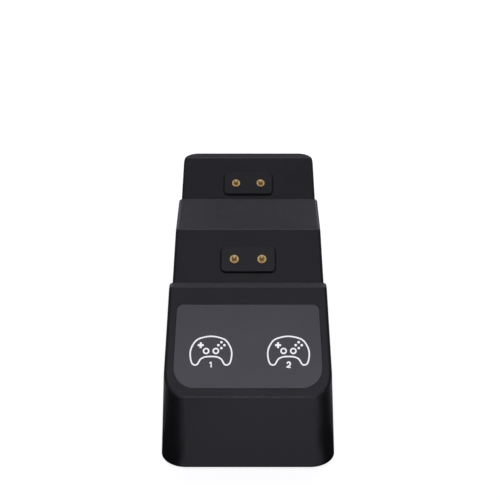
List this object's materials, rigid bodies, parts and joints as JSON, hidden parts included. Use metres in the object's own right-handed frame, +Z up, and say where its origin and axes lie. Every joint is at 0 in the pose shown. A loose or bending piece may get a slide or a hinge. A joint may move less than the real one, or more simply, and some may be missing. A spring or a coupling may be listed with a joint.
{
  "type": "controller charging dock",
  "caption": "Black block-shaped charging dock with a sloping smoked front panel and sloping cradles that hold game controllers one behind the other on sprung gold contacts.",
  "frame": {"origin": "on the table, under the middle of the dock's footprint", "axes": "+Z up, the front with the panel faces -Y, +X to the right seen from the front"},
  "size_m": [0.0584, 0.1474, 0.0525],
  "materials": {
    "housing_plastic": "black moulded plastic with a fine matte texture",
    "panel_plastic": "smoked grey satin plastic",
    "light_guide_plastic": "clear moulded plastic",
    "led_resin": "pale lamp resin",
    "board_laminate": "green circuit board",
    "chip_resin": "black chip resin",
    "steel": "zinc plated steel",
    "black_screw_steel": "blackened steel",
    "spring_steel": "bright spring wire",
    "inlet_steel": "plated steel sheet",
    "inlet_plastic": "black insulating plastic",
    "ribbon_plastic": "grey flat lead",
    "contact_plastic": "black satin plastic",
    "contact_gold": "gold plated brass",
    "foot_rubber": "black rubber"
  },
  "bodies": {
    "dock": {"housing": "housing_plastic", "base_cover": "housing_plastic", "front_panel": "panel_plastic", "light_guide_left": "light_guide_plastic", "light_guide_right": "light_guide_plastic", "led_left": "led_resin", "led_right": "led_resin", "led_board": "board_laminate", "led_screws": "steel", "main_board": "board_laminate", "board_screws": "steel", "charge_chip_front": "chip_resin", "charge_chip_rear": "chip_resin", "usb_shell": "inlet_steel", "usb_tongue": "inlet_plastic", "led_ribbon": "ribbon_plastic", "front_ribbon": "ribbon_plastic", "rear_ribbon": "ribbon_plastic", "base_screws": "black_screw_steel", "front_contact_block": "contact_plastic", "front_contact_board": "board_laminate", "front_contact_screws": "steel", "foot_front_left": "foot_rubber", "front_left_barrel": "contact_gold", "front_left_spring": "spring_steel", "foot_front_right": "foot_rubber", "front_right_barrel": "contact_gold", "front_right_spring": "spring_steel", "rear_contact_block": "contact_plastic", "rear_contact_board": "board_laminate", "rear_contact_screws": "steel", "foot_rear_left": "foot_rubber", "rear_left_barrel": "contact_gold", "rear_left_spring": "spring_steel", "foot_rear_right": "foot_rubber", "rear_right_barrel": "contact_gold", "rear_right_spring": "spring_steel"},
    "front_left_contact": {"front_left_plunger": "contact_gold"},
    "front_right_contact": {"front_right_plunger": "contact_gold"},
    "rear_left_contact": {"rear_left_plunger": "contact_gold"},
    "rear_right_contact": {"rear_right_plunger": "contact_gold"}
  },
  "joints": [
    {"name": "front_left_contact_press", "type": "slide", "parent": "dock", "child": "front_left_contact", "axis": [0, 0.6428, -0.766], "range_m": [0, 0.0015], "stiffness_N_per_m": 300, "springref_m": -0.0015, "deforming": ["front_left_spring"]},
    {"name": "front_right_contact_press", "type": "slide", "parent": "dock", "child": "front_right_contact", "axis": [0, 0.6428, -0.766], "range_m": [0, 0.0015], "stiffness_N_per_m": 300, "springref_m": -0.0015, "deforming": ["front_right_spring"]},
    {"name": "rear_left_contact_press", "type": "slide", "parent": "dock", "child": "rear_left_contact", "axis": [0, 0.6428, -0.766], "range_m": [0, 0.0015], "stiffness_N_per_m": 300, "springref_m": -0.0015, "deforming": ["rear_left_spring"]},
    {"name": "rear_right_contact_press", "type": "slide", "parent": "dock", "child": "rear_right_contact", "axis": [0, 0.6428, -0.766], "range_m": [0, 0.0015], "stiffness_N_per_m": 300, "springref_m": -0.0015, "deforming": ["rear_right_spring"]}
  ]
}
